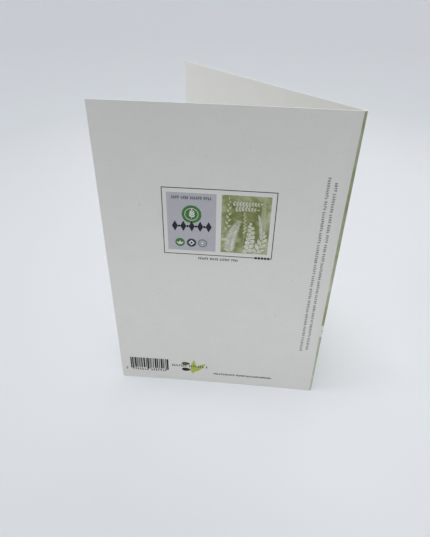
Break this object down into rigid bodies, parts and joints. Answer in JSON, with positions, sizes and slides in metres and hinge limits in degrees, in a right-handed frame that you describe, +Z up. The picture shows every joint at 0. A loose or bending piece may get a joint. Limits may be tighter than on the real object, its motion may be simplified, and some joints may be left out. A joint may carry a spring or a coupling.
{
  "type": "greeting card",
  "caption": "Folded greeting card of uncoated board, standing open on its cut edges, with a scored fold, gently bowed panels, a green printed front and small marks on the plain back.",
  "frame": {"origin": "centre of the footprint's bounding box, on the surface the card stands on", "axes": "+Z up along the fold, +X towards the fold, +Y towards the front panel; the card opens towards -X and is symmetric about the plane Y = 0"},
  "size_m": [0.1088, 0.0862, 0.17],
  "materials": {
    "board": "matte",
    "front_print": "matte",
    "panel_print": "matte",
    "dark_print": "matte"
  },
  "bodies": {
    "root": {"card": "board"}
  },
  "joints": []
}
